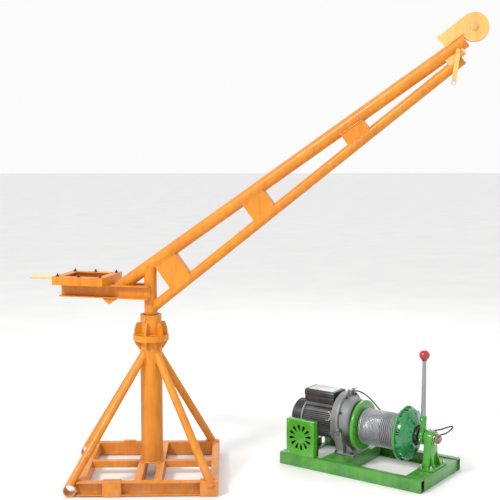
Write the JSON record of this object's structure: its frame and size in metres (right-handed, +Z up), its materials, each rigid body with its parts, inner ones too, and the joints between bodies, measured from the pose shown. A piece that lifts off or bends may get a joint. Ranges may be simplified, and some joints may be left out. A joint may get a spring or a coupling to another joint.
{
  "type": "slewing construction hoist with electric winch",
  "caption": "Small slewing hoist: square base, braced column, twin-tube boom with head sheave, counterweight tray with push handle, and an electric clutch winch beside it.",
  "frame": {"origin": "middle of the whole part's footprint, on the floor", "axes": "+X along the front of the base towards the winch, +Y away from the operator, +Z up"},
  "size_m": [2.6616, 1.1812, 2.712],
  "materials": {
    "orange_paint": "semi-gloss enamel, lightly worn",
    "cream_paint": "semi-gloss enamel",
    "green_paint": "semi-gloss enamel",
    "emerald_paint": "gloss enamel on casting",
    "bright_steel": "machined",
    "dark_steel": "oiled, dark",
    "gear_steel": "machined, oiled",
    "rope_steel": "galvanised wire rope",
    "cast_aluminium": "grey painted casting",
    "black_plastic": "satin moulded",
    "cable_rubber": "matt",
    "red_plastic": "glossy moulded ball"
  },
  "bodies": {
    "root": {"front_beam": "orange_paint", "rear_beam": "orange_paint", "left_beam": "orange_paint", "right_beam": "orange_paint", "keel_beam_left": "orange_paint", "keel_beam_right": "orange_paint", "cross_angle_left": "orange_paint", "cross_angle_right": "orange_paint", "socket_front": "orange_paint", "socket_rear": "orange_paint", "brace_front_left": "orange_paint", "brace_front_right": "orange_paint", "brace_rear_left": "orange_paint", "brace_rear_right": "orange_paint", "column_tube": "orange_paint", "column_flange": "orange_paint", "bearing_housing": "orange_paint", "skid_rail_near": "green_paint", "skid_rail_far": "green_paint", "skid_end_left": "green_paint", "gearbox_bridge": "green_paint", "pedestal_bridge": "green_paint", "control_box": "green_paint", "bearing_pedestal": "green_paint", "lower_bearing": "bright_steel", "upper_bearing": "bright_steel", "motor_housing": "cast_aluminium", "gear_housing": "cast_aluminium", "capacitor_box": "black_plastic", "power_cable": "cable_rubber"},
    "superstructure": {"slewing_post": "orange_paint", "boom_upper_tube": "orange_paint", "boom_lower_tube": "orange_paint", "boom_spacer_1": "orange_paint", "boom_spacer_2": "orange_paint", "boom_spacer_3": "orange_paint", "tip_gusset": "orange_paint", "head_plate_near": "orange_paint", "head_plate_far": "orange_paint", "sheave_pin": "bright_steel", "platform_beam_near": "orange_paint", "platform_beam_far": "orange_paint", "tray_rail_near": "orange_paint", "tray_rail_right": "orange_paint", "tray_rail_far": "orange_paint", "tray_rail_left": "orange_paint", "push_handle": "cream_paint", "stay_lug": "orange_paint"},
    "sheave": {"head_sheave": "dark_steel"},
    "anchor_link": {"rope_anchor_link": "orange_paint"},
    "drum": {"rope_drum": "green_paint", "rope_winding": "rope_steel", "clutch_cover": "emerald_paint"},
    "output_shaft": {"drum_shaft": "bright_steel", "main_gear": "gear_steel"},
    "layshaft": {"layshaft_gear": "gear_steel"},
    "rotor": {"motor_rotor": "gear_steel"},
    "sleeve": {"clutch_sleeve": "dark_steel"},
    "lever": {"clutch_lever": "bright_steel", "lever_knob": "red_plastic"}
  },
  "joints": [
    {"name": "slew", "type": "hinge", "parent": "root", "child": "superstructure", "pos_m": [-0.56921, -0.03357, 0.851], "axis": [0, 0, 1], "continuous": true},
    {"name": "sheave_spin", "type": "hinge", "parent": "superstructure", "child": "sheave", "pos_m": [1.22451, -0.5479, 2.634], "axis": [0.2756, 0.9613, 0], "continuous": true},
    {"name": "anchor_swing", "type": "hinge", "parent": "superstructure", "child": "anchor_link", "pos_m": [1.13548, -0.56815, 2.506], "axis": [0.2756, 0.9613, 0], "range_deg": [-60, 50]},
    {"name": "drum_spin", "type": "hinge", "parent": "root", "child": "drum", "pos_m": [0.77579, 0.07843, 0.255], "axis": [0.7986, -0.6018, 0], "continuous": true},
    {"name": "output_spin", "type": "hinge", "parent": "root", "child": "output_shaft", "pos_m": [0.77579, 0.07843, 0.255], "axis": [0.7986, -0.6018, 0], "continuous": true},
    {"name": "layshaft_spin", "type": "hinge", "parent": "root", "child": "layshaft", "pos_m": [0.656, 0.16871, 0.327], "axis": [0.7986, -0.6018, 0], "continuous": true},
    {"name": "rotor_spin", "type": "hinge", "parent": "root", "child": "rotor", "pos_m": [0.5362, 0.25898, 0.255], "axis": [0.7986, -0.6018, 0], "continuous": true},
    {"name": "lever_throw", "type": "hinge", "parent": "root", "child": "lever", "pos_m": [1.06809, -0.14183, 0.255], "axis": [0.7986, -0.6018, 0], "range_deg": [-35, 35]},
    {"name": "sleeve_shift", "type": "slide", "parent": "output_shaft", "child": "sleeve", "axis": [0.7986, -0.6018, 0], "range_m": [-0.0055, 0.0055]}
  ],
  "couplings": [
    {"joint": "layshaft_spin", "follows": "output_spin", "ratio": -4},
    {"joint": "rotor_spin", "follows": "output_spin", "ratio": 16},
    {"joint": "sleeve_shift", "follows": "lever_throw", "m_per_rad": 0.008185}
  ]
}
